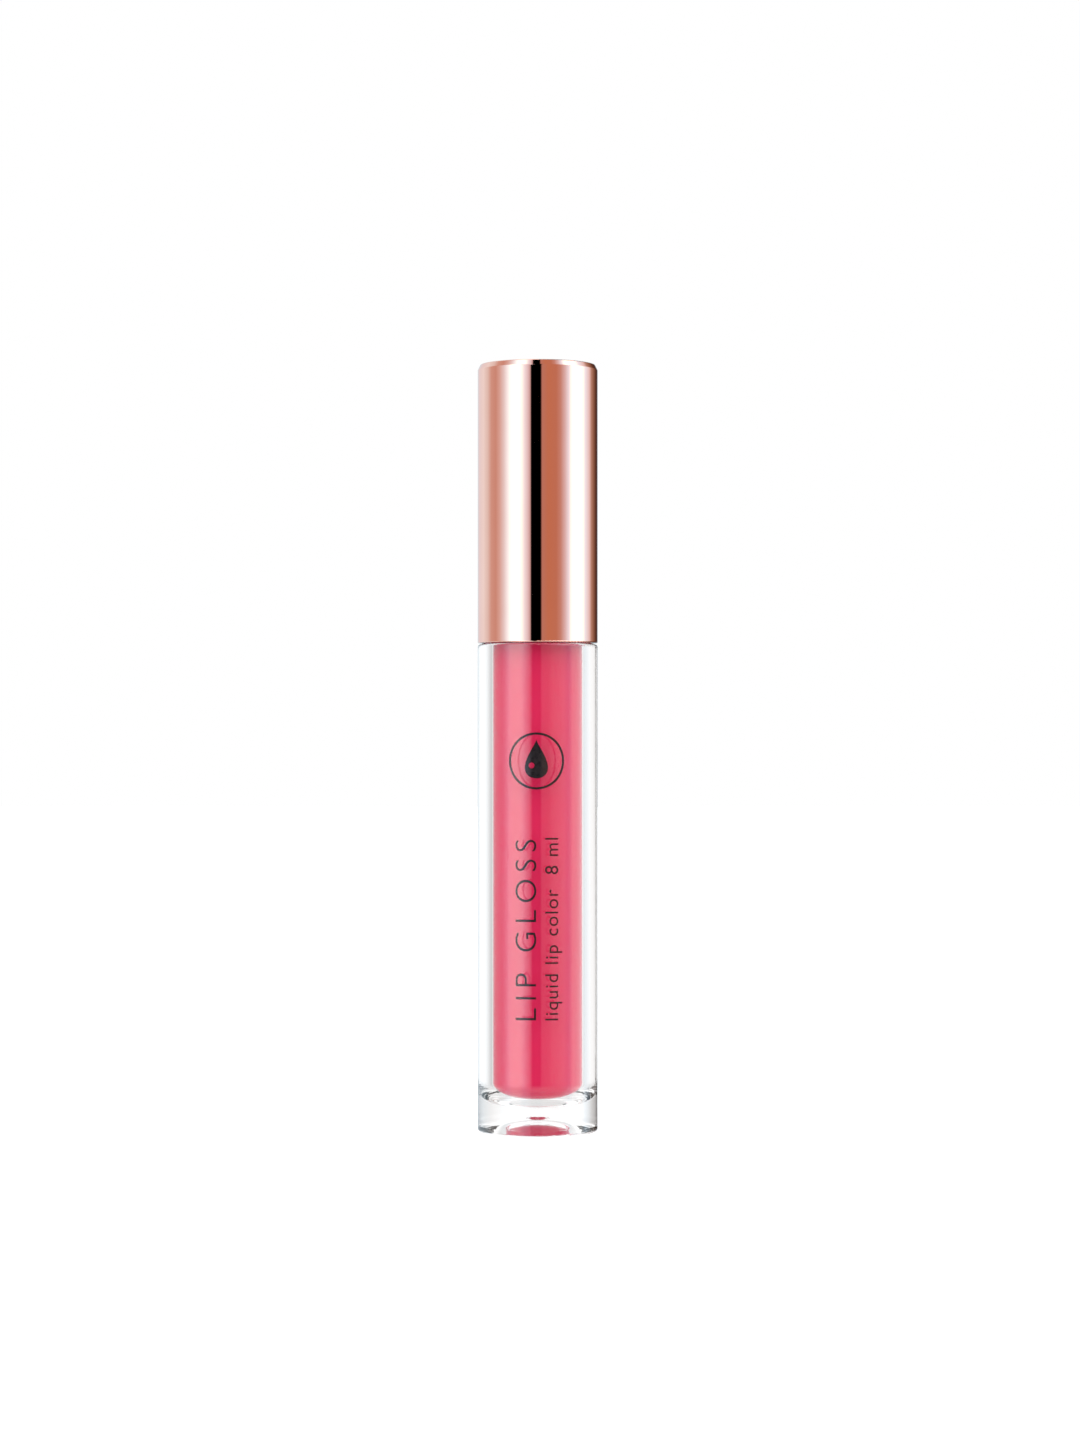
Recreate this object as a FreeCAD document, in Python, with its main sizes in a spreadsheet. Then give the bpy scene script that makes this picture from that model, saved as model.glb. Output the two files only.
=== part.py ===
"""Lip gloss tube: thick clear bottle with an inner vial, and a screw cap that carries a doe-foot wand.

Millimetres. +Z is up the tube's axis, and the origin is the centre of the base. Every sub-part is drawn
where it sits when the tube is closed.
"""

import FreeCAD, Part

import math
import os
import re

from FreeCAD import Placement, Rotation, Vector
import Sketcher

doc = FreeCAD.newDocument("lip_gloss_tube")

# alias, value in millimetres (or a count), meaning
DIMENSIONS = [
    ("tube_diameter", 18.8, "outside diameter of the bottle and of the cap"),
    ("tube_height", 120, "overall height, closed"),
    ("bottle_height", 76.2, "base to the bottle's shoulder"),
    ("joint_gap", 0.2, "between the bottle's shoulder and the cap's rim"),
    ("base_round", 0.4, "rounding of the bottle's lower edge"),
    ("shoulder_round", 0.4, "rounding of the bottle's upper edge"),
    ("bore_low", 3.85, "height of the bore's floor, at the axis"),
    ("bore_diameter", 14.3, "bottle's bore, which holds the vial"),
    ("bore_round", 3.6, "rounding at the bottom of the bore"),
    ("floor_rise", 1.1, "rise of the bore's and the vial's curved floors from the axis to the wall"),
    ("air_gap", 0.15, "between the bore and the vial, all round"),
    ("foot_ring", 1.2, "ring that the bottle stands on, round the recess under its base"),
    ("recess_slope", 1.3, "width of the recess's lower slope"),
    ("recess_step", 0.5, "width of the step above that slope"),
    ("step_height", 0.7, "height of that step"),
    ("crown_height", 2.25, "height of the recess's crown, round the gate mark"),
    ("gate_diameter", 3, "moulding dimple in the middle of the recess"),
    ("gate_depth", 0.3, "depth of that dimple"),
    ("slip", 0.05, "clearance between nested pieces that don't move"),
    ("vial_wall", 0.6, "wall of the inner vial"),
    ("flange_diameter", 16.6, "flange that seats the vial on the bottle's shoulder"),
    ("flange_thickness", 1.5, "thickness of that flange"),
    ("neck_diameter", 11.2, "neck, at the root of its thread"),
    ("neck_bore", 9.1, "bore of the neck, which holds the wiper"),
    ("neck_taper", 2.2, "height over which the vial narrows to its neck"),
    ("neck_top", 88, "height of the neck's rim"),
    ("thread_depth", 0.7, "height of the thread ribs"),
    ("thread_pitch", 2.5, "rise of the thread in one turn"),
    ("thread_base", 80.3, "height of the neck thread's lower end"),
    ("thread_width", 1.3, "width of a thread rib at its root"),
    ("neck_thread_turns", 1.75, "length of the neck's rib, in turns"),
    ("cap_thread_turns", 1.5, "length of the insert's rib, in turns"),
    ("thread_clearance", 0.12, "radial clearance between the crests of the two threads"),
    ("fill_level", 79.6, "surface of the gloss"),
    ("wand_channel", 4.2, "diameter that the wand keeps open in the gloss"),
    ("wiper_flange", 10.8, "diameter of the wiper's flange on the neck's rim"),
    ("wiper_flange_thickness", 0.6, "thickness of that flange"),
    ("wiper_wall", 0.7, "wall of the wiper's plug"),
    ("wiper_plug", 3.6, "straight length of the plug below the neck's rim"),
    ("wiper_cone", 3.8, "length of the cone below the plug"),
    ("wiper_lip", 0.8, "height of the wiping lip"),
    ("running_clearance", 0.08, "radial clearance of the rod in the wiper"),
    ("seal_diameter", 12.4, "outside diameter of the cap's foam washer"),
    ("seal_thickness", 0.8, "thickness of the washer"),
    ("rod_diameter", 4, "wand rod"),
    ("rod_low", 19.6, "height of the rod's lower end"),
    ("rod_socket", 12, "depth of the insert's socket for the rod"),
    ("spigot_diameter", 2.5, "tip's spigot in the rod"),
    ("spigot_length", 5, "length of that spigot"),
    ("tip_low", 9.2, "height of the applicator's end"),
    ("tip_diameter", 3.5, "applicator's core, under its flock"),
    ("tip_slant", 8.2, "height of the applicator's slanted face"),
    ("shell_wall", 0.6, "wall of the cap shell"),
    ("shell_top", 0.8, "thickness of the cap shell's top"),
    ("bevel_height", 0.85, "height of the bevel round the cap's top"),
    ("bevel_width", 0.4, "width of that bevel"),
    ("edge_round", 0.18, "rounding of the cap shell's visible edges"),
    ("insert_low", 78.5, "lower rim of the cap insert"),
    ("insert_top", 112, "upper rim of the cap insert's sleeve"),
    ("insert_wall", 0.9, "wall of that sleeve"),
    ("deck_thickness", 2, "insert's deck, above the washer"),
    ("boss_wall", 1.6, "wall round the rod's socket"),
    ("fin_thickness", 1, "fins between the socket and the sleeve"),
    ("fin_count", 6, "number of those fins"),
    ("grip_rib_width", 0.5, "ribs that grip the shell from inside"),
    ("grip_rib_count", 24, "number of those ribs"),
]

sizes = doc.addObject("Spreadsheet::Sheet", "Sizes")
for line, (alias, value, meaning) in enumerate(DIMENSIONS, start=1):
    sizes.set(f"A{line}", meaning)
    sizes.set(f"B{line}", str(value))
    sizes.setAlias(f"B{line}", alias)
doc.recompute()

# Heights and radii that several sub-parts share, as formulas of the sheet's cells
TUBE_RADIUS = "tube_diameter / 2"
BORE = "bore_diameter / 2"
RECESS = f"{TUBE_RADIUS} - foot_ring"
STEP_OUTSIDE = f"{RECESS} - recess_slope"
STEP_INSIDE = f"{STEP_OUTSIDE} - recess_step"
VIAL_OUTSIDE = f"{BORE} - air_gap"
VIAL_INSIDE = f"{VIAL_OUTSIDE} - vial_wall"
VIAL_LOW = "bore_low + air_gap"
VIAL_FLOOR = f"{VIAL_LOW} + vial_wall"
TAPER_LOW = "bottle_height - slip"
TAPER_TOP = f"{TAPER_LOW} + neck_taper"
NECK_BORE = "neck_bore / 2"
NECK_RADIUS = "neck_diameter / 2"
ORIFICE = "rod_diameter / 2 + running_clearance"
WIPER_TOP = "neck_top + wiper_flange_thickness"
SEAL_LOW = f"{WIPER_TOP} + slip"
DECK_LOW = f"{SEAL_LOW} + seal_thickness + slip"
INSERT_BORE = f"{NECK_RADIUS} + 2 * thread_depth"
INSERT_RADIUS = f"{TUBE_RADIUS} - shell_wall - 2 * slip"
SLEEVE_INSIDE = f"{INSERT_RADIUS} - insert_wall"
BOSS_RADIUS = "rod_diameter / 2 + boss_wall"
SOCKET_TOP = f"{DECK_LOW} + rod_socket"

DOME = "dome"


def bound(formula):
    """The formula with each alias written as a reference to the sheet."""
    return re.sub(r"[a-z_]{3,}", lambda word: "Sizes." + word.group(), formula)


def value_of(formula):
    return float(sizes.evalExpression(bound(formula)))


def new_body(label):
    body = doc.addObject("PartDesign::Body", label)
    body.Label = label
    return body


def origin_feature(body, role):
    return next(item for item in body.Origin.OriginFeatures if item.Role == role)


def outline(body, name, corners, plane="XZ_Plane"):
    """A closed sketch, whose corners are pairs of formulas: along X, and up.

    The side after a corner is straight, or an arc centred on the tube's axis if the corner's third item is DOME.
    """
    sketch = body.newObject("Sketcher::SketchObject", name)
    sketch.AttachmentSupport = [(origin_feature(body, plane), "")]
    sketch.MapMode = "FlatFace"
    spots = [Vector(value_of(corner[0]), value_of(corner[1]), 0) for corner in corners]
    ends = []
    for i, corner in enumerate(corners):
        start, end = spots[i], spots[(i + 1) % len(spots)]
        if DOME in corner:
            ends.append(add_dome(sketch, start, end))
        else:
            sketch.addGeometry(Part.LineSegment(start, end), False)
            ends.append((1, 2))
    for i in range(len(spots)):
        after = (i + 1) % len(spots)
        sketch.addConstraint(Sketcher.Constraint("Coincident", i, ends[i][1], after, ends[after][0]))
    for i, (spot, corner) in enumerate(zip(spots, corners)):
        pin_corner(sketch, i, ends[i][0], spot.x, corner[0], "DistanceX", -2)
        pin_corner(sketch, i, ends[i][0], spot.y, corner[1], "DistanceY", -1)
    return sketch


def add_dome(sketch, start, end):
    """An arc centred on the vertical axis. Returns which of its points, 1 or 2, start and end it."""
    centre = Vector(0, (start.Length ** 2 - end.Length ** 2) / (2 * (start.y - end.y)), 0)
    radius = (start - centre).Length
    angles = [math.atan2(spot.y - centre.y, spot.x) for spot in (start, end)]
    circle = Part.Circle(centre, Vector(0, 0, 1), radius)
    index = sketch.addGeometry(Part.ArcOfCircle(circle, min(angles), max(angles)), False)
    sketch.addConstraint(Sketcher.Constraint("PointOnObject", index, 3, -2))
    return (1, 2) if angles[0] < angles[1] else (2, 1)


def pin_corner(sketch, side, point, distance, formula, kind, axis):
    """Hold a side's point at a bound distance from the origin, or on the axis if that is 0."""
    if abs(distance) < 1e-9:
        sketch.addConstraint(Sketcher.Constraint("PointOnObject", side, point, axis))
        return
    index = sketch.addConstraint(Sketcher.Constraint(kind, -1, 1, side, point, distance))
    sketch.setExpression(f"Constraints[{index}]", bound(formula))


def revolved(body, name, corners):
    """The outline in the XZ plane, turned round the tube's axis."""
    solid = body.newObject("PartDesign::Revolution", name)
    sketch = outline(body, name + "_outline", corners)
    solid.Profile = sketch
    solid.ReferenceAxis = (sketch, ["V_Axis"])
    solid.Angle = 360
    body.Tip = solid
    doc.recompute()
    return solid


def rim_names(shape, radius, height):
    """Names of the circular edges of this radius and height, both given as formulas."""
    across, up = value_of(radius), value_of(height)
    names = []
    for number, edge in enumerate(shape.Edges, start=1):
        if edge.Degenerated or not isinstance(edge.Curve, Part.Circle):
            continue
        curve = edge.Curve
        if abs(curve.Radius - across) < 1e-4 and abs(curve.Center.z - up) < 1e-4:
            names.append(f"Edge{number}")
    return names


def rounded(body, name, radius, *rims):
    """Round the body's circular edges, each given by its radius and height."""
    base = body.Tip
    names = [edge for rim in rims for edge in rim_names(base.Shape, *rim)]
    fillet = body.newObject("PartDesign::Fillet", name)
    fillet.Base = (base, names)
    fillet.setExpression("Radius", bound(radius))
    body.Tip = fillet
    doc.recompute()


def repeated(body, name, feature, count):
    """The feature, repeated evenly round the tube's axis."""
    pattern = body.newObject("PartDesign::PolarPattern", name)
    pattern.Originals = [feature]
    pattern.Axis = (origin_feature(body, "Z_Axis"), [""])
    pattern.Angle = 360
    pattern.setExpression("Occurrences", bound(count))
    body.Tip = pattern
    doc.recompute()


def outer_bottle():
    """Thick clear tube on a foot ring. The recess under its base has two domed slopes, and a step between."""
    body = new_body("outer_bottle")
    revolved(body, "bottle_wall", [
        ("0", "crown_height + gate_depth"),
        ("gate_diameter / 2 - gate_depth", "crown_height + gate_depth"),
        ("gate_diameter / 2", "crown_height", DOME),
        (STEP_INSIDE, "step_height"),
        (STEP_OUTSIDE, "step_height", DOME),
        (RECESS, "0"),
        (TUBE_RADIUS, "0"),
        (TUBE_RADIUS, "bottle_height"),
        (BORE, "bottle_height"),
        (BORE, "bore_low + floor_rise", DOME),
        ("0", "bore_low"),
    ])
    rounded(body, "base_edge", "base_round", (TUBE_RADIUS, "0"))
    rounded(body, "shoulder_edge", "shoulder_round", (TUBE_RADIUS, "bottle_height"))
    rounded(body, "bore_floor", "bore_round", (BORE, "bore_low + floor_rise"))
    return body


def vial_blank():
    """The inner vial without its thread: tube, seating flange and neck."""
    body = new_body("vial_blank")
    seat = "bottle_height + flange_thickness"
    revolved(body, "vial_wall", [
        ("0", VIAL_LOW, DOME),
        (VIAL_OUTSIDE, f"{VIAL_LOW} + floor_rise"),
        (VIAL_OUTSIDE, "bottle_height"),
        ("flange_diameter / 2", "bottle_height"),
        ("flange_diameter / 2", seat),
        (NECK_RADIUS, seat),
        (NECK_RADIUS, "neck_top"),
        (NECK_BORE, "neck_top"),
        (NECK_BORE, TAPER_TOP),
        (VIAL_INSIDE, TAPER_LOW),
        (VIAL_INSIDE, f"{VIAL_FLOOR} + floor_rise", DOME),
        ("0", VIAL_FLOOR),
    ])
    rounded(body, "vial_heel", "bore_round - air_gap", (VIAL_OUTSIDE, f"{VIAL_LOW} + floor_rise"))
    rounded(body, "vial_bowl", "bore_round - vial_wall", (VIAL_INSIDE, f"{VIAL_FLOOR} + floor_rise"))
    rounded(body, "rim_edges", "edge_round", (NECK_RADIUS, "neck_top"), ("flange_diameter / 2", seat))
    return body


def thread_rib(name, root, crest, low, turns):
    """A right-hand helical rib from root to crest radius, which fades in and out over an eighth of a turn.

    It is a loft of trapezoids round the helix. Each one is buried a little in the wall that it stands on.
    """
    pitch, width = value_of("thread_pitch"), value_of("thread_width")
    bury = math.copysign(0.25, root - crest)
    fade = 1 / 8
    steps = round(turns * 24)
    sections = []
    for step in range(steps + 1):
        turn = turns * step / steps
        growth = min(1, turn / fade, (turns - turn) / fade)
        tip = root + bury / 4 + (crest - root - bury / 4) * growth
        trapezoid = [(root + bury, -width / 2), (tip, -width / 4), (tip, width / 4), (root + bury, width / 2)]
        spots = [Vector(radius, 0, up) for radius, up in trapezoid]
        section = Part.makePolygon(spots + spots[:1])
        section.Placement = Placement(
            Vector(0, 0, low + turn * pitch), Rotation(Vector(0, 0, 1), 360 * turn)
        )
        sections.append(section)
    rib = doc.addObject("Part::Feature", name)
    rib.Shape = Part.makeLoft(sections, True, False)
    return rib


def fused(label, body, rib):
    fuse = doc.addObject("Part::Fuse", label)
    fuse.Base = body
    fuse.Tool = rib
    fuse.Label = label
    return fuse


def inner_vial():
    crest = value_of(f"{NECK_RADIUS} + thread_depth")
    rib = thread_rib("neck_thread", value_of(NECK_RADIUS), crest,
                     value_of("thread_base"), value_of("neck_thread_turns"))
    return fused("inner_vial", vial_blank(), rib)


def gloss_fill():
    """The liquid, with the channel that the wand holds open."""
    body = new_body("gloss_fill")
    wall = f"{VIAL_INSIDE} - slip / 2"
    floor = f"{VIAL_FLOOR} + slip / 2"
    revolved(body, "gloss", [
        ("0", floor, DOME),
        (wall, f"{floor} + floor_rise"),
        (wall, f"{TAPER_LOW} - slip / 2"),
        (f"{NECK_BORE} - slip / 2", f"{TAPER_TOP} - slip / 2"),
        (f"{NECK_BORE} - slip / 2", "fill_level"),
        ("wand_channel / 2", "fill_level"),
        ("wand_channel / 2", "tip_low - 4 * slip"),
        ("0", "tip_low - 4 * slip"),
    ])
    rounded(body, "gloss_bowl", "bore_round - vial_wall", (wall, f"{floor} + floor_rise"))
    return body


def wiper():
    """Flange on the neck's rim, plug inside the neck, and a cone down to the wiping lip."""
    body = new_body("wiper")
    plug = f"{NECK_BORE} - slip"
    cone_top = "neck_top - wiper_plug"
    lip_low = f"{cone_top} - wiper_cone"
    revolved(body, "wiper_wall", [
        (ORIFICE, lip_low),
        (f"{ORIFICE} + wiper_wall", lip_low),
        (plug, cone_top),
        (plug, "neck_top"),
        ("wiper_flange / 2", "neck_top"),
        ("wiper_flange / 2", WIPER_TOP),
        (f"{plug} - wiper_wall", WIPER_TOP),
        (f"{plug} - wiper_wall", f"{cone_top} + wiper_wall / 2"),
        (ORIFICE, f"{lip_low} + wiper_lip"),
    ])
    rounded(body, "wiper_edges", "edge_round",
            ("wiper_flange / 2", WIPER_TOP), (f"{plug} - wiper_wall", WIPER_TOP))
    return body


def cap_seal():
    body = new_body("cap_seal")
    hole = "rod_diameter / 2 + 2 * running_clearance"
    revolved(body, "washer", [
        (hole, SEAL_LOW),
        ("seal_diameter / 2", SEAL_LOW),
        ("seal_diameter / 2", f"{SEAL_LOW} + seal_thickness"),
        (hole, f"{SEAL_LOW} + seal_thickness"),
    ])
    return body


def cap_shell():
    """Thin metallised cup with a bevel round its top."""
    body = new_body("cap_shell")
    inside = f"{TUBE_RADIUS} - shell_wall"
    rim = "bottle_height + joint_gap"
    revolved(body, "shell_wall", [
        (inside, rim),
        (TUBE_RADIUS, rim),
        (TUBE_RADIUS, "tube_height - bevel_height"),
        (f"{TUBE_RADIUS} - bevel_width", "tube_height"),
        ("0", "tube_height"),
        ("0", "tube_height - shell_top"),
        (inside, "tube_height - shell_top"),
    ])
    rounded(body, "shell_edges", "edge_round",
            (TUBE_RADIUS, rim),
            (TUBE_RADIUS, "tube_height - bevel_height"),
            (f"{TUBE_RADIUS} - bevel_width", "tube_height"))
    return body


def insert_blank():
    """The cap insert without its thread: collar, deck, rod socket, sleeve, fins and grip ribs."""
    body = new_body("insert_blank")
    socket = "rod_diameter / 2 + slip / 2"
    deck_top = f"{DECK_LOW} + deck_thickness"
    boss_top = f"{SOCKET_TOP} + boss_wall"
    revolved(body, "insert_wall", [
        (INSERT_BORE, "insert_low"),
        (INSERT_RADIUS, "insert_low"),
        (INSERT_RADIUS, "insert_top"),
        (SLEEVE_INSIDE, "insert_top"),
        (SLEEVE_INSIDE, deck_top),
        (BOSS_RADIUS, deck_top),
        (BOSS_RADIUS, boss_top),
        ("0", boss_top),
        ("0", SOCKET_TOP),
        (socket, SOCKET_TOP),
        (socket, DECK_LOW),
        (INSERT_BORE, DECK_LOW),
    ])
    rounded(body, "collar_edges", "edge_round", (INSERT_BORE, "insert_low"), (INSERT_RADIUS, "insert_low"))
    insert_fins(body, deck_top, boss_top)
    grip_ribs(body)
    return body


def insert_fins(body, deck_top, boss_top):
    """Upright fins from the rod's socket out to the sleeve."""
    overlap = "insert_wall / 3"
    fin = body.newObject("PartDesign::Pad", "fin")
    fin.Profile = outline(body, "fin_outline", [
        (f"{BOSS_RADIUS} - {overlap}", f"{deck_top} - {overlap}"),
        (f"{SLEEVE_INSIDE} + {overlap}", f"{deck_top} - {overlap}"),
        (f"{SLEEVE_INSIDE} + {overlap}", "insert_top - insert_wall"),
        (f"{BOSS_RADIUS} - {overlap}", f"{boss_top} - insert_wall"),
    ])
    fin.Midplane = True
    fin.setExpression("Length", bound("fin_thickness"))
    doc.recompute()
    repeated(body, "fins", fin, "fin_count")


def grip_ribs(body):
    """Low upright ribs outside the sleeve, which centre it in the shell."""
    rib = body.newObject("PartDesign::Pad", "grip_rib")
    sketch = outline(body, "grip_rib_outline", [
        (f"{INSERT_RADIUS} - insert_wall / 3", "0 - grip_rib_width / 2"),
        (f"{INSERT_RADIUS} + 3 * slip / 2", "0 - grip_rib_width / 4"),
        (f"{INSERT_RADIUS} + 3 * slip / 2", "grip_rib_width / 4"),
        (f"{INSERT_RADIUS} - insert_wall / 3", "grip_rib_width / 2"),
    ], plane="XY_Plane")
    sketch.setExpression("AttachmentOffset.Base.z", bound("insert_low + insert_wall"))
    rib.Profile = sketch
    rib.setExpression("Length", bound("insert_top - insert_low - 2 * insert_wall"))
    doc.recompute()
    repeated(body, "grip_ribs", rib, "grip_rib_count")


def cap_insert():
    """In mesh with the neck's thread: its rib lies half a pitch below the neck's."""
    crest = value_of(f"{NECK_RADIUS} + thread_depth + thread_clearance")
    rib = thread_rib("cap_thread", value_of(INSERT_BORE), crest,
                     value_of("thread_base - thread_pitch / 2 + 2 * slip"), value_of("cap_thread_turns"))
    rib.Placement = Placement(Vector(0, 0, value_of("thread_pitch / 4")), Rotation(Vector(0, 0, 1), 90))
    return fused("cap_insert", insert_blank(), rib)


def wand_rod():
    body = new_body("wand_rod")
    rod, hole = "rod_diameter / 2", "spigot_diameter / 2"
    top = f"{SOCKET_TOP} - slip"
    revolved(body, "rod_wall", [
        (hole, "rod_low"),
        (rod, "rod_low"),
        (rod, top),
        ("0", top),
        ("0", "rod_low + spigot_length"),
        (hole, "rod_low + spigot_length"),
    ])
    rounded(body, "rod_edges", "edge_round", (rod, "rod_low"), (rod, top))
    return body


def applicator_tip():
    """A blunt rod with a slanted face on one side, and a spigot that fits the wand rod."""
    body = new_body("applicator_tip")
    tip, spigot = "tip_diameter / 2", "spigot_diameter / 2 - slip / 2"
    shoulder = "rod_low - slip"
    revolved(body, "tip_core", [
        ("0", "tip_low"),
        (tip, "tip_low"),
        (tip, f"{shoulder} - tip_diameter / 4"),
        (f"{tip} - tip_diameter / 14", shoulder),
        (spigot, shoulder),
        (spigot, f"{shoulder} + spigot_length - slip"),
        ("0", f"{shoulder} + spigot_length - slip"),
    ])
    rounded(body, "tip_end", "0.45 * tip_diameter", (tip, "tip_low"))
    whole = body.Tip.Shape.Volume
    slant = body.newObject("PartDesign::Pocket", "slanted_face")
    slant.Profile = outline(body, "slant_outline", [
        ("0 - tip_diameter", "tip_low + 2 * tip_slant - 1"),
        ("0 - tip_diameter", "tip_low - 1"),
        ("tip_diameter / 8", "tip_low - 1"),
    ])
    slant.Type = "ThroughAll"
    slant.Midplane = True
    body.Tip = slant
    doc.recompute()
    if not 0.5 * whole < body.Tip.Shape.Volume < 0.95 * whole:
        raise SystemExit("the slanted face doesn't cut the tip as it should")
    return body


def check_document():
    for item in doc.Objects:
        if "Invalid" in item.State or "Error" in item.State:
            raise SystemExit(f"{item.Label} failed: {item.State}")


def write_parts(subparts):
    os.makedirs("parts", exist_ok=True)
    for subpart in subparts:
        shape = subpart.Shape
        if shape.isNull() or not shape.isValid() or len(shape.Solids) != 1:
            raise SystemExit(f"{subpart.Label} isn't one valid solid")
        shape.exportStep(f"parts/{subpart.Label}.step")


subparts = [
    outer_bottle(), inner_vial(), gloss_fill(), wiper(),
    cap_seal(),
    cap_shell(), cap_insert(), wand_rod(), applicator_tip(),
]
doc.recompute()
check_document()
write_parts(subparts)
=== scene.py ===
"""Looks of the lip gloss tube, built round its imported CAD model.

Metres, +Z up the tube's axis. The tube stands on the origin and its front, which carries the print, faces -Y.
"""

import math
import random

import bmesh
import bpy
from mathutils import Matrix, Vector


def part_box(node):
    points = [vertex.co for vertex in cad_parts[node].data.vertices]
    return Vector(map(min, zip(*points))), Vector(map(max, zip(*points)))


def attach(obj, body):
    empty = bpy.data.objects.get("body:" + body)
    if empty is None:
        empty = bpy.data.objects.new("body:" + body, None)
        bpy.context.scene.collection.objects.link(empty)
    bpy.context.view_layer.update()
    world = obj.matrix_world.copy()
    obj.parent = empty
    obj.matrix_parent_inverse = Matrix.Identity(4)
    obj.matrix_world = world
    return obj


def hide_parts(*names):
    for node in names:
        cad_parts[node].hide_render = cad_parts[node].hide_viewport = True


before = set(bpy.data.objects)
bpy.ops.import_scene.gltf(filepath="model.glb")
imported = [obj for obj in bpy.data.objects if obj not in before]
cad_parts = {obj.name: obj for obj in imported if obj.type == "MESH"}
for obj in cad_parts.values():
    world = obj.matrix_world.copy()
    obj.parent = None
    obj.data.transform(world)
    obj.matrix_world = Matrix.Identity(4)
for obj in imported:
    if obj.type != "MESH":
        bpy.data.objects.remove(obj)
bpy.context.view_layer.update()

MM = 0.001
TUBE_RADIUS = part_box("outer_bottle")[1].x
TUBE_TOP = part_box("cap_shell")[1].z
BOTTLE_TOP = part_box("outer_bottle")[1].z
GLOSS_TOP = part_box("gloss_fill")[1].z

# The gap between the bottle's wall and the ink, and how thick the ink is
INK_LIFT = 0.004 * MM
INK_THICKNESS = 0.02 * MM
FIBRES = 2600
# The flock has to pass the wiper's orifice, which is 2.08 mm in radius.
FLOCK_RADIUS = 2.02 * MM
# The most reflections and refractions of one ray, of which a thick clear wall takes many
BOUNCES = 48


# ---------------------------------------------------------------- studio

# Azimuth in degrees from the camera's side, minus to the left, and what a glossy surface sees there.
# White is a softbox, copper and salmon are warm reflectors, and black is the gap round the lens.
RING_STRENGTH = 3.0
RING = [
    (-180, (0.22, 0.27, 0.29)),
    (-150, (0.30, 0.34, 0.38)),
    (-128, (0.33, 0.42, 0.47)),
    (-112, (0.29, 0.34, 0.37)),
    (-101, (0.25, 0.20, 0.19)),
    (-88, (0.235, 0.17, 0.155)),
    (-78, (0.27, 0.25, 0.26)),
    (-68, (0.31, 0.40, 0.48)),
    (-58, (0.40, 0.65, 0.80)),
    (-50, (1.0, 1.0, 1.0)),
    (-36, (1.0, 1.0, 1.0)),
    (-26, (0.36, 0.53, 0.66)),
    (-18, (0.29, 0.33, 0.41)),
    (-13.6, (0.20, 0.18, 0.20)),
    (-12.6, (0.0, 0.0, 0.0)),
    (6.6, (0.0, 0.0, 0.0)),
    (7.6, (0.19, 0.115, 0.10)),
    (20, (0.21, 0.105, 0.067)),
    (36, (0.205, 0.107, 0.077)),
    (45, (0.225, 0.155, 0.145)),
    (54, (0.28, 0.30, 0.36)),
    (63, (0.35, 0.53, 0.70)),
    (71, (1.0, 1.0, 1.0)),
    (92, (1.0, 1.0, 1.0)),
    (104, (0.35, 0.55, 0.72)),
    (118, (0.31, 0.34, 0.39)),
    (126, (0.175, 0.137, 0.117)),
    (135, (0.113, 0.071, 0.050)),
    (147, (0.043, 0.020, 0.012)),
    (160, (0.02, 0.01, 0.01)),
    (180, (0.22, 0.27, 0.29)),
]

# The same for level light that comes through the clear plastic. Its front half is what the inner walls
# reflect. Its back half is a white backdrop that falls off to grey at its sides.
SURROUND_STRENGTH = 2.0
SURROUND = [
    (-180, 0.54),
    (-155, 0.515),
    (-147, 0.49),
    (-139, 0.44),
    (-130, 0.35),
    (-124, 0.31),
    (-110, 0.29),
    (-90, 0.25),
    (-79, 0.45),
    (-69, 0.85),
    (-57, 0.80),
    (-36, 0.95),
    (-27, 0.625),
    (-18, 0.285),
    (-13.6, 0.2),
    (-12.6, 0.0),
    (6.6, 0.0),
    (7.6, 0.125),
    (25, 0.175),
    (35, 0.325),
    (53, 0.40),
    (63, 0.375),
    (73, 0.15),
    (100, 0.20),
    (118, 0.35),
    (130, 0.41),
    (139, 0.45),
    (147, 0.49),
    (155, 0.515),
    (180, 0.54),
]

# What surfaces see at steeper angles: glossy ones overhead, and the clear plastic above and below
OVERHEAD = 1.6
ABOVE = 1.15
BELOW = 0.8
# The light on matt surfaces, from above level and from below it
SKY = 1.8
GROUND = 0.8


def round_ramp(tree, azimuth, stops):
    """A shade for each azimuth, from stops in degrees."""
    return ramped(tree, azimuth, [((degrees + 180) / 360, shade) for degrees, shade in stops])


def maths(tree, operation, *values):
    node = tree.nodes.new("ShaderNodeMath")
    node.operation = operation
    for socket, value in zip(node.inputs, values):
        if isinstance(value, (int, float)):
            socket.default_value = value
        else:
            tree.links.new(value, socket)
    return node.outputs[0]


def background(tree, strength, colour=None):
    """White unless a colour is given."""
    node = tree.nodes.new("ShaderNodeBackground")
    node.inputs["Color"].default_value = (1, 1, 1, 1)
    if colour is not None:
        tree.links.new(colour, node.inputs["Color"])
    node.inputs["Strength"].default_value = strength
    return node.outputs[0]


def mixed(tree, factor, first, second):
    node = tree.nodes.new("ShaderNodeMixShader")
    tree.links.new(factor, node.inputs[0])
    tree.links.new(first, node.inputs[1])
    tree.links.new(second, node.inputs[2])
    return node.outputs[0]


def steepness(tree, rise, start, end):
    """0 for directions that rise by up to start degrees, and 1 from end degrees."""
    ease = tree.nodes.new("ShaderNodeMapRange")
    ease.inputs["From Min"].default_value = math.sin(math.radians(start))
    ease.inputs["From Max"].default_value = math.sin(math.radians(end))
    tree.links.new(rise, ease.inputs["Value"])
    return ease.outputs["Result"]


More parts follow.
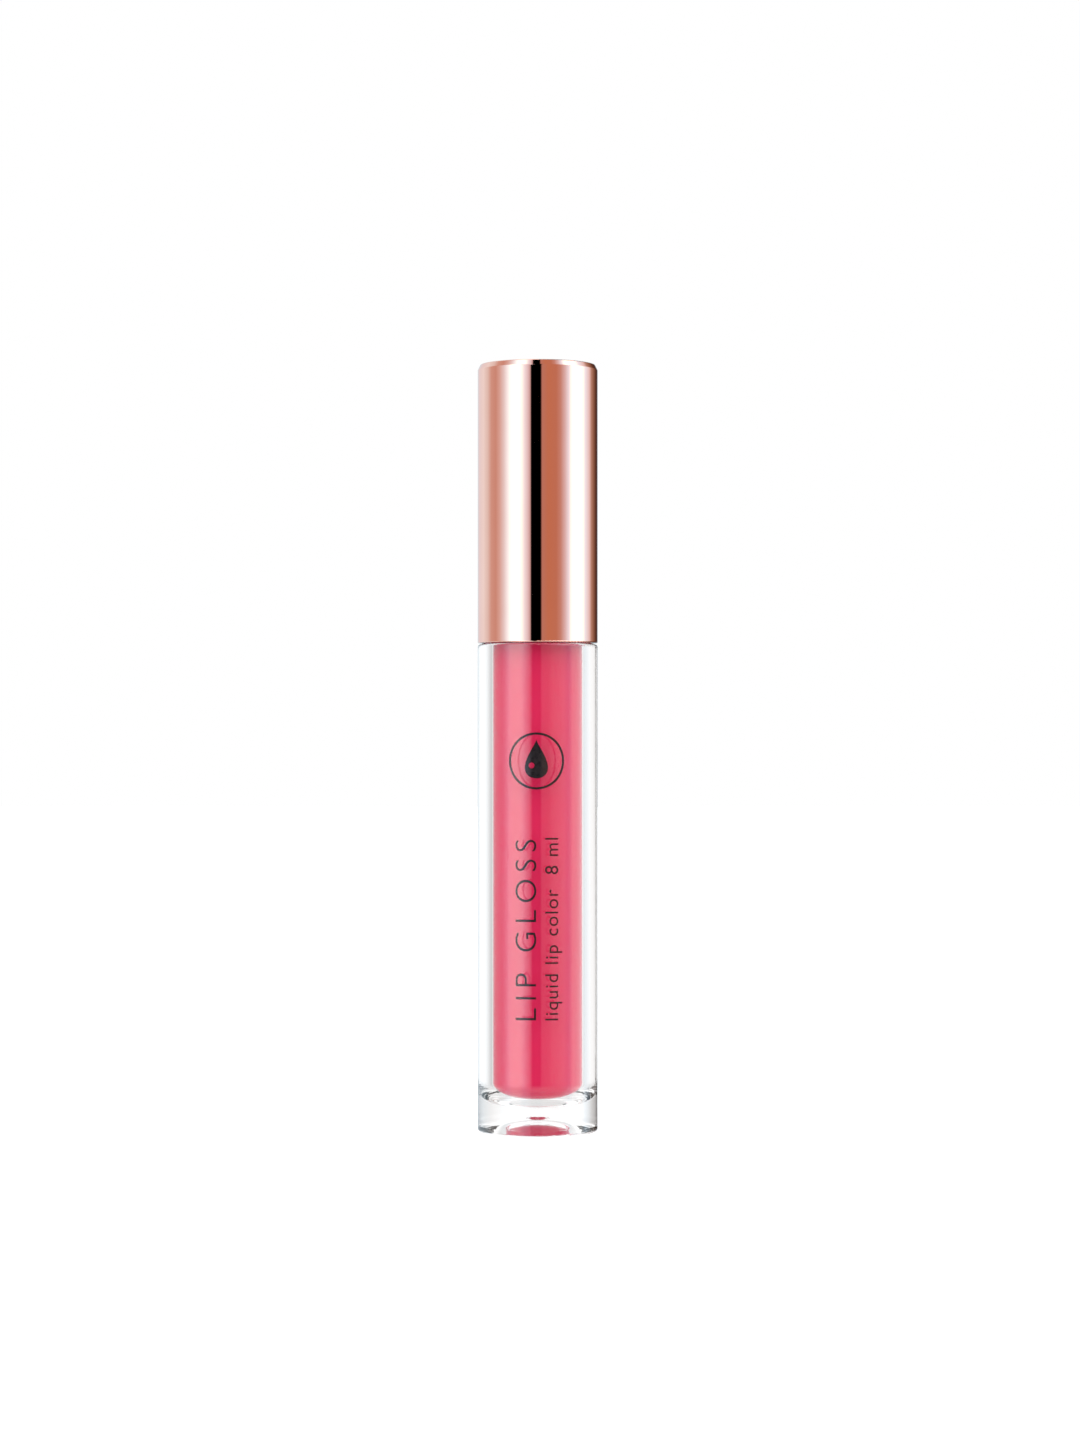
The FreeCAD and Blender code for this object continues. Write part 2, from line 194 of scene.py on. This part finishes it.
def looking_direction(tree):
    """How far the direction rises, -1 to 1, and its azimuth, from 0 behind the tube through 0.5 in front."""
    split = tree.nodes.new("ShaderNodeSeparateXYZ")
    tree.links.new(tree.nodes.new("ShaderNodeTexCoord").outputs["Generated"], split.inputs[0])
    angle = maths(tree, "ARCTAN2", split.outputs["X"], maths(tree, "MULTIPLY", split.outputs["Y"], -1))
    return split.outputs["Z"], maths(tree, "ADD", maths(tree, "DIVIDE", angle, math.tau), 0.5)


def make_studio():
    """White surroundings that differ by what looks at them: glossy surfaces, clear walls, or matt ones."""
    world = bpy.data.worlds.new("studio")
    bpy.context.scene.world = world
    world.use_nodes = True
    world.cycles.sampling_method = "NONE"
    tree = world.node_tree
    tree.nodes.clear()
    rise, azimuth = looking_direction(tree)
    fall = maths(tree, "MULTIPLY", rise, -1)
    ring = background(tree, RING_STRENGTH, round_ramp(tree, azimuth, RING))
    ring = mixed(tree, steepness(tree, rise, 60, 78), ring, background(tree, OVERHEAD))
    surround = background(tree, SURROUND_STRENGTH, round_ramp(tree, azimuth, SURROUND))
    surround = mixed(tree, steepness(tree, rise, 9, 28), surround, background(tree, ABOVE))
    surround = mixed(tree, steepness(tree, fall, 9, 28), surround, background(tree, BELOW))
    soft_light = mixed(tree, steepness(tree, rise, -12, 12), background(tree, GROUND), background(tree, SKY))
    rays = tree.nodes.new("ShaderNodeLightPath")
    shown = mixed(tree, rays.outputs["Is Glossy Ray"], soft_light, ring)
    shown = mixed(tree, rays.outputs["Is Transmission Ray"], shown, surround)
    shown = mixed(tree, rays.outputs["Is Camera Ray"], shown, background(tree, 1.0))
    output = tree.nodes.new("ShaderNodeOutputWorld")
    tree.links.new(shown, output.inputs["Surface"])


def set_bounces():
    """Light is reflected many times inside the thick clear walls before it comes out."""
    cycles = bpy.context.scene.cycles
    cycles.glossy_bounces = BOUNCES
    cycles.transmission_bounces = BOUNCES
    cycles.max_bounces = BOUNCES + 8


def make_floor():
    bpy.ops.mesh.primitive_plane_add(size=6)
    floor = bpy.context.object
    floor.name = "floor"
    paper, tree, shader = new_material("white_paper")
    speckle = ramped(tree, noise(tree, 900, 4), [(0.35, (0.82, 0.82, 0.82)), (0.7, (0.86, 0.86, 0.86))])
    tree.links.new(speckle, shader.inputs["Base Color"])
    shader.inputs["Roughness"].default_value = 0.9
    shader.inputs["Specular IOR Level"].default_value = 0.0
    floor.data.materials.append(paper)
    floor.visible_diffuse = False
    floor.visible_glossy = False
    floor.visible_transmission = False


def make_camera():
    """Level with the middle of the tube and in front of it. The small shift is only the framing."""
    camera = bpy.data.objects.new("camera", bpy.data.cameras.new("camera"))
    bpy.context.collection.objects.link(camera)
    camera.location = (0.0, -0.55, TUBE_TOP / 2)
    camera.rotation_euler = (math.radians(90), 0, 0)
    camera.data.lens = 87.7
    camera.data.sensor_width = 36
    camera.data.shift_x = 0.0016
    camera.data.shift_y = 0.0194
    bpy.context.scene.camera = camera
    bpy.context.scene.view_settings.view_transform = "Standard"


# ---------------------------------------------------------------- material nodes

def new_material(name):
    made = bpy.data.materials.new(name)
    made.use_nodes = True
    return made, made.node_tree, made.node_tree.nodes["Principled BSDF"]


def object_coords(tree, stretch=(1, 1, 1)):
    coords = tree.nodes.new("ShaderNodeTexCoord")
    mapping = tree.nodes.new("ShaderNodeMapping")
    mapping.inputs["Scale"].default_value = stretch
    tree.links.new(coords.outputs["Object"], mapping.inputs["Vector"])
    return mapping.outputs["Vector"]


def noise(tree, scale, detail, stretch=(1, 1, 1)):
    node = tree.nodes.new("ShaderNodeTexNoise")
    node.inputs["Scale"].default_value = scale
    node.inputs["Detail"].default_value = detail
    tree.links.new(object_coords(tree, stretch), node.inputs["Vector"])
    return node.outputs["Fac"]


def ramped(tree, value, stops):
    """Colours or greys along a value; each stop is (position, shade)."""
    ramp = tree.nodes.new("ShaderNodeValToRGB")
    elements = ramp.color_ramp.elements
    while len(elements) < len(stops):
        elements.new(0.5)
    for element, (position, shade) in zip(elements, stops):
        element.position = position
        element.color = (*shade, 1) if isinstance(shade, tuple) else (shade, shade, shade, 1)
    tree.links.new(value, ramp.inputs["Fac"])
    return ramp.outputs["Color"]


def bumped(tree, shader, height, strength, distance):
    bump = tree.nodes.new("ShaderNodeBump")
    bump.inputs["Strength"].default_value = strength
    bump.inputs["Distance"].default_value = distance
    tree.links.new(height, bump.inputs["Height"])
    tree.links.new(bump.outputs["Normal"], shader.inputs["Normal"])


def clear_plastic(name, ior, tint):
    """Polished clear plastic, with faint haze patches in its roughness. It lets light on to what it holds."""
    made, tree, shader = new_material(name)
    shader.inputs["Base Color"].default_value = (*tint, 1)
    shader.inputs["IOR"].default_value = ior
    shader.inputs["Transmission Weight"].default_value = 1
    haze = ramped(tree, noise(tree, 260, 3), [(0.45, 0.0), (0.75, 0.012)])
    tree.links.new(haze, shader.inputs["Roughness"])
    rays = tree.nodes.new("ShaderNodeLightPath")
    open_air = tree.nodes.new("ShaderNodeBsdfTransparent").outputs[0]
    surface = shader.outputs[0]
    for kind in ("Is Shadow Ray", "Is Diffuse Ray"):
        surface = mixed(tree, rays.outputs[kind], surface, open_air)
    tree.links.new(surface, tree.nodes["Material Output"].inputs["Surface"])
    return made


def rose_gold():
    """Polished anodised aluminium: a warm mirror, with the finest of drawing marks round it."""
    made, tree, shader = new_material("rose_gold")
    tone = ramped(tree, noise(tree, 90, 4), [(0.3, (0.84, 0.45, 0.35)), (0.7, (0.86, 0.47, 0.37))])
    tree.links.new(tone, shader.inputs["Base Color"])
    shader.inputs["Metallic"].default_value = 1
    marks = noise(tree, 500, 3, stretch=(1, 1, 14))
    tree.links.new(ramped(tree, marks, [(0.3, 0.015), (0.8, 0.03)]), shader.inputs["Roughness"])
    bumped(tree, shader, marks, 0.02, 0.00001)
    return made


def pink_gloss():
    """The liquid against the vial's wall: creamy pink with light scattered inside it."""
    made, tree, shader = new_material("pink_gloss")
    cream = noise(tree, 140, 4, stretch=(1, 1, 0.35))
    tone = ramped(tree, cream, [(0.3, (0.62, 0.020, 0.084)), (0.7, (0.64, 0.024, 0.090))])
    tree.links.new(tone, shader.inputs["Base Color"])
    shader.inputs["Roughness"].default_value = 0.35
    shader.inputs["IOR"].default_value = 1.05
    shader.inputs["Subsurface Weight"].default_value = 0.25
    shader.inputs["Subsurface Radius"].default_value = (1.0, 0.3, 0.35)
    shader.inputs["Subsurface Scale"].default_value = 0.0015
    return made


def moulded(name, colour, roughness, translucency=0.0):
    """Injection-moulded plastic: a satin skin with fine grain and a little colour variation."""
    made, tree, shader = new_material(name)
    low = tuple(0.96 * c for c in colour)
    tone = ramped(tree, noise(tree, 220, 4), [(0.3, low), (0.7, colour)])
    tree.links.new(tone, shader.inputs["Base Color"])
    grain = noise(tree, 2500, 4)
    sheen = ramped(tree, grain, [(0.3, roughness - 0.05), (0.7, roughness + 0.07)])
    tree.links.new(sheen, shader.inputs["Roughness"])
    shader.inputs["IOR"].default_value = 1.49
    shader.inputs["Subsurface Weight"].default_value = translucency
    shader.inputs["Subsurface Radius"].default_value = (1, 0.95, 0.9)
    shader.inputs["Subsurface Scale"].default_value = 0.0012
    bumped(tree, shader, grain, 0.06, 0.00002)
    return made


def foam():
    made, tree, shader = new_material("seal_foam")
    cells = tree.nodes.new("ShaderNodeTexVoronoi")
    cells.inputs["Scale"].default_value = 4500
    tree.links.new(object_coords(tree), cells.inputs["Vector"])
    tone = ramped(tree, cells.outputs["Distance"], [(0.0, (0.52, 0.52, 0.50)), (0.6, (0.68, 0.68, 0.66))])
    tree.links.new(tone, shader.inputs["Base Color"])
    shader.inputs["Roughness"].default_value = 0.75
    bumped(tree, shader, cells.outputs["Distance"], 0.5, 0.00005)
    return made


def black_ink():
    """Silk-screened ink, with slight unevenness in its black and its gloss."""
    made, tree, shader = new_material("black_ink")
    patches = noise(tree, 1800, 3)
    tone = ramped(tree, patches, [(0.3, (0.012, 0.010, 0.012)), (0.7, (0.022, 0.018, 0.020))])
    tree.links.new(tone, shader.inputs["Base Color"])
    tree.links.new(ramped(tree, patches, [(0.3, 0.08), (0.7, 0.16)]), shader.inputs["Roughness"])
    return made


def wetted_rod():
    """Pale moulded plastic, with a patchy film of gloss up to the level that the gloss reaches."""
    made = moulded("rod_plastic", (0.66, 0.66, 0.655), 0.22, 0.2)
    tree, shader = made.node_tree, made.node_tree.nodes["Principled BSDF"]
    height = tree.nodes.new("ShaderNodeSeparateXYZ")
    tree.links.new(object_coords(tree), height.inputs[0])
    depth = tree.nodes.new("ShaderNodeMapRange")
    depth.inputs["From Min"].default_value = GLOSS_TOP
    depth.inputs["From Max"].default_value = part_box("wand_rod")[0].z
    depth.inputs["To Min"].default_value = -0.35
    depth.inputs["To Max"].default_value = 0.45
    tree.links.new(height.outputs["Z"], depth.inputs["Value"])
    smears = maths(tree, "ADD", noise(tree, 420, 5, stretch=(1, 1, 0.25)), depth.outputs["Result"])
    film = tree.nodes.new("ShaderNodeMix")
    film.data_type = "RGBA"
    tree.links.new(ramped(tree, smears, [(0.42, 0.0), (0.62, 0.55), (0.85, 1.0)]), film.inputs["Factor"])
    bare = shader.inputs["Base Color"].links[0].from_socket
    tree.links.new(bare, film.inputs["A"])
    film.inputs["B"].default_value = (0.72, 0.10, 0.19, 1)
    tree.links.new(film.outputs["Result"], shader.inputs["Base Color"])
    return made


def wet_flock():
    """Short fibres soaked in gloss: patchy pink, and wet all over."""
    made, tree, shader = new_material("tip_flock")
    clumps = noise(tree, 1500, 3)
    tone = ramped(tree, clumps, [(0.3, (0.50, 0.035, 0.095)), (0.7, (0.70, 0.10, 0.18))])
    tree.links.new(tone, shader.inputs["Base Color"])
    tree.links.new(ramped(tree, clumps, [(0.3, 0.25), (0.7, 0.5)]), shader.inputs["Roughness"])
    shader.inputs["Coat Weight"].default_value = 0.5
    shader.inputs["Coat Roughness"].default_value = 0.12
    shader.inputs["Sheen Weight"].default_value = 0.15
    return made


def set_material(node, material):
    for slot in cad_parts[node].material_slots:
        slot.material = material


# ---------------------------------------------------------------- pieces

ARC_STEPS = 24


def arc(centre, radius, start, end):
    """Points of an arc in the (radius, height) plane, in degrees anticlockwise from outward."""
    angles = [math.radians(start + (end - start) * step / ARC_STEPS) for step in range(ARC_STEPS + 1)]
    return [(centre[0] + radius * math.cos(a), centre[1] + radius * math.sin(a)) for a in angles]


def lathe(name, profile, segments):
    """A closed solid of revolution about the tube's axis, from (radius, height) points in metres."""
    mesh = bmesh.new()
    rings = []
    for radius, height in profile:
        if radius < 1e-7:
            rings.append([mesh.verts.new((0, 0, height))])
            continue
        turns = [math.tau * i / segments for i in range(segments)]
        rings.append([mesh.verts.new((radius * math.cos(t), radius * math.sin(t), height)) for t in turns])
    for here, after in zip(rings, rings[1:] + rings[:1]):
        for i in range(segments):
            corners = [here[i % len(here)], here[(i + 1) % len(here)]]
            corners += [after[(i + 1) % len(after)], after[i % len(after)]]
            corners = list(dict.fromkeys(corners))
            if len(corners) > 2:
                mesh.faces.new(corners)
    bmesh.ops.recalc_face_normals(mesh, faces=mesh.faces)
    return from_bmesh(name, mesh)


def from_bmesh(name, mesh, smooth_degrees=35):
    data = bpy.data.meshes.new(name)
    mesh.to_mesh(data)
    mesh.free()
    data.shade_smooth()
    data.set_sharp_from_angle(angle=math.radians(smooth_degrees))
    piece = bpy.data.objects.new(name, data)
    bpy.context.collection.objects.link(piece)
    return piece


def domed_floor(radius, low, rise, corner):
    """From the axis out to the wall: a spherical floor, rounded into the wall by the corner's radius.

    Unrounded, it would meet the wall this rise above the axis.
    """
    sphere = (radius ** 2 + rise ** 2) / (2 * rise)
    inset = radius - corner
    centre = low + sphere - math.sqrt((sphere - corner) ** 2 - inset ** 2)
    meeting = math.degrees(math.atan2(inset, low + sphere - centre)) - 90
    return arc((0, low + sphere), sphere, -90, meeting) + arc((inset, centre), corner, meeting, 0)[1:]


def make_gloss():
    """The gloss, a hair wider than its CAD solid so that it wets the vial's wall with no air between."""
    low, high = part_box("gloss_fill")
    wet = 0.05 * MM
    radius = high.x + wet
    neck = 4.55 * MM + wet / 2
    channel = 2.1 * MM
    taper_low, taper_top = BOTTLE_TOP - 0.05 * MM, BOTTLE_TOP + 2.15 * MM
    # The surface climbs a little where it meets the neck and the wand.
    surface = high.z - 0.35 * MM
    channel_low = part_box("applicator_tip")[0].z - 0.25 * MM
    profile = domed_floor(radius, low.z - wet, rise=1.1 * MM, corner=3.0 * MM)
    wall_low = profile[-1][1]
    wall_steps = 12
    step = (taper_low - wall_low) / wall_steps
    profile += [(radius, wall_low + step * i) for i in range(1, wall_steps + 1)]
    profile += [(neck, taper_top), (neck, surface + 0.15 * MM), (neck - 0.3 * MM, surface)]
    profile += [(channel + 0.2 * MM, surface), (channel, surface + 0.25 * MM)]
    profile += [(channel, channel_low), (0, channel_low)]
    gloss = lathe("gloss_liquid", profile, 160)
    gloss.data.materials.append(pink_gloss())
    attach(gloss, "bottle")
    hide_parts("gloss_fill")


# ---------------------------------------------------------------- print and flock

def outlined(outlines):
    """A filled flat shape from closed outlines, in millimetres. An outline inside another is a hole."""
    art = bpy.data.curves.new("art", "CURVE")
    art.dimensions = "2D"
    art.fill_mode = "BOTH"
    for points in outlines:
        spline = art.splines.new("POLY")
        spline.points.add(len(points) - 1)
        for spot, (x, y) in zip(spline.points, points):
            spot.co = (x, y, 0, 1)
        spline.use_cyclic_u = True
    return art


TURNS = [math.radians(degrees) for degrees in range(0, 360, 5)]


def circle(x, y, radius):
    return [(x + radius * math.cos(t), y + radius * math.sin(t)) for t in TURNS]


def droplet(length, fullness):
    """A drop that points along +X, and is about 1.4 times its fullness wide."""
    return [(length / 2 * math.cos(t), fullness * math.sin(t) * math.sin(t / 2) ** 1.6) for t in TURNS]


def lettering(words, height, spacing, thinner):
    """Words whose capitals are this high in millimetres, with strokes thinner by that much on each side."""
    capitals_per_size = 0.7
    art = bpy.data.curves.new("art", "FONT")
    art.body = words
    art.size = height / capitals_per_size
    art.space_character = spacing
    art.offset = -thinner
    return art


def print_on(layer, art, up, across):
    """Add flat art, a curve in millimetres, to the layer of ink that is wrapped round the bottle's front.

    Its own X runs up the tube and its own Y to the left. Its origin is this far up, and across to the right.
    """
    art.extrude = 0.5
    drawing = bpy.data.objects.new("drawing", art)
    bpy.context.collection.objects.link(drawing)
    mesh = bmesh.new()
    mesh.from_mesh(drawing.evaluated_get(bpy.context.evaluated_depsgraph_get()).to_mesh())
    bpy.data.objects.remove(drawing)
    bmesh.ops.remove_doubles(mesh, verts=mesh.verts, dist=0.001)
    # Cuts along the tube let the flat art bend.
    strip = 0.35
    for i in range(-15, 16):
        everything = mesh.verts[:] + mesh.edges[:] + mesh.faces[:]
        bmesh.ops.bisect_plane(mesh, geom=everything, plane_co=(0, i * strip, 0), plane_no=(0, 1, 0))
    for vert in mesh.verts:
        outward = TUBE_RADIUS + (INK_LIFT if vert.co.z < 0 else INK_LIFT + INK_THICKNESS)
        angle = (across - vert.co.y) * MM / TUBE_RADIUS
        vert.co = (outward * math.sin(angle), -outward * math.cos(angle), (up + vert.co.x) * MM)
    bmesh.ops.recalc_face_normals(mesh, faces=mesh.faces)
    wrapped = bpy.data.meshes.new("wrapped")
    mesh.to_mesh(wrapped)
    mesh.free()
    layer.from_mesh(wrapped)


def make_print():
    """A generic mark and generic words: a drop in a ring, above two lines of lettering that read upwards."""
    layer = bmesh.new()
    print_on(layer, outlined([circle(0, 0, 4.4), circle(0, 0, 4.05)]), up=58, across=-0.2)
    print_on(layer, outlined([droplet(6.0, 2.6), circle(-1.0, 0.75, 0.45)]), up=58.3, across=-0.2)
    title = lettering("LIP GLOSS", height=3.4, spacing=1.34, thinner=0.06)
    print_on(layer, title, up=17.6, across=-0.2)
    small_print = lettering("liquid lip color  8 ml", height=2.1, spacing=1.13, thinner=0.0)
    print_on(layer, small_print, up=17.8, across=3.2)
    ink = from_bmesh("front_print", layer)
    ink.data.materials.append(black_ink())
    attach(ink, "bottle")


def make_flock():
    """Short tapered fibres that stand on the applicator's core, kept inside the wiper's orifice."""
    rng = random.Random(5)
    root_depth, thickness = 0.06 * MM, 0.03 * MM
    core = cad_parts["applicator_tip"].data
    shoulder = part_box("wand_rod")[0].z - 0.3 * MM
    core.calc_loop_triangles()
    faces = [t for t in core.loop_triangles if max(core.vertices[i].co.z for i in t.vertices) < shoulder]
    mesh = bmesh.new()
    for face in rng.choices(faces, weights=[t.area for t in faces], k=FIBRES):
        a, b, c = (core.vertices[i].co for i in face.vertices)
        u, v = sorted((rng.random(), rng.random()))
        root = a * u + b * (v - u) + c * (1 - v)
        lean = Vector([rng.uniform(-0.45, 0.45) for _ in range(3)])
        along = (face.normal + lean).normalized()
        tip = root + along * rng.uniform(0.2, 0.42) * MM
        across = Vector((tip.x, tip.y, 0)).length
        if across > FLOCK_RADIUS:
            tip.x, tip.y = tip.x * FLOCK_RADIUS / across, tip.y * FLOCK_RADIUS / across
        add_fibre(mesh, root - along * root_depth, tip, thickness)
    fibres = from_bmesh("tip_fibres", mesh, 80)
    fibres.data.materials.append(wet_flock())
    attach(fibres, "wand")


def add_fibre(mesh, root, tip, radius):
    """A closed three-sided spike."""
    along = (tip - root).normalized()
    side = along.orthogonal().normalized() * radius
    foot = [mesh.verts.new(root + Matrix.Rotation(math.tau * i / 3, 3, along) @ side) for i in range(3)]
    point = mesh.verts.new(tip)
    mesh.faces.new(reversed(foot))
    for i in range(3):
        mesh.faces.new((foot[i], foot[(i + 1) % 3], point))


# ---------------------------------------------------------------- the whole scene

make_studio()
set_bounces()
make_floor()
make_camera()
set_material("outer_bottle", clear_plastic("clear_acrylic", 1.49, (1.0, 1.0, 1.0)))
set_material("inner_vial", clear_plastic("clear_vial", 1.5, (0.995, 0.997, 1.0)))
set_material("cap_shell", rose_gold())
set_material("cap_insert", moulded("insert_polypropylene", (0.62, 0.62, 0.605), 0.4, 0.3))
set_material("wiper", moulded("wiper_polyethylene", (0.60, 0.60, 0.58), 0.35, 0.5))
set_material("cap_seal", foam())
set_material("wand_rod", wetted_rod())
set_material("applicator_tip", wet_flock())
make_gloss()
make_print()
make_flock()
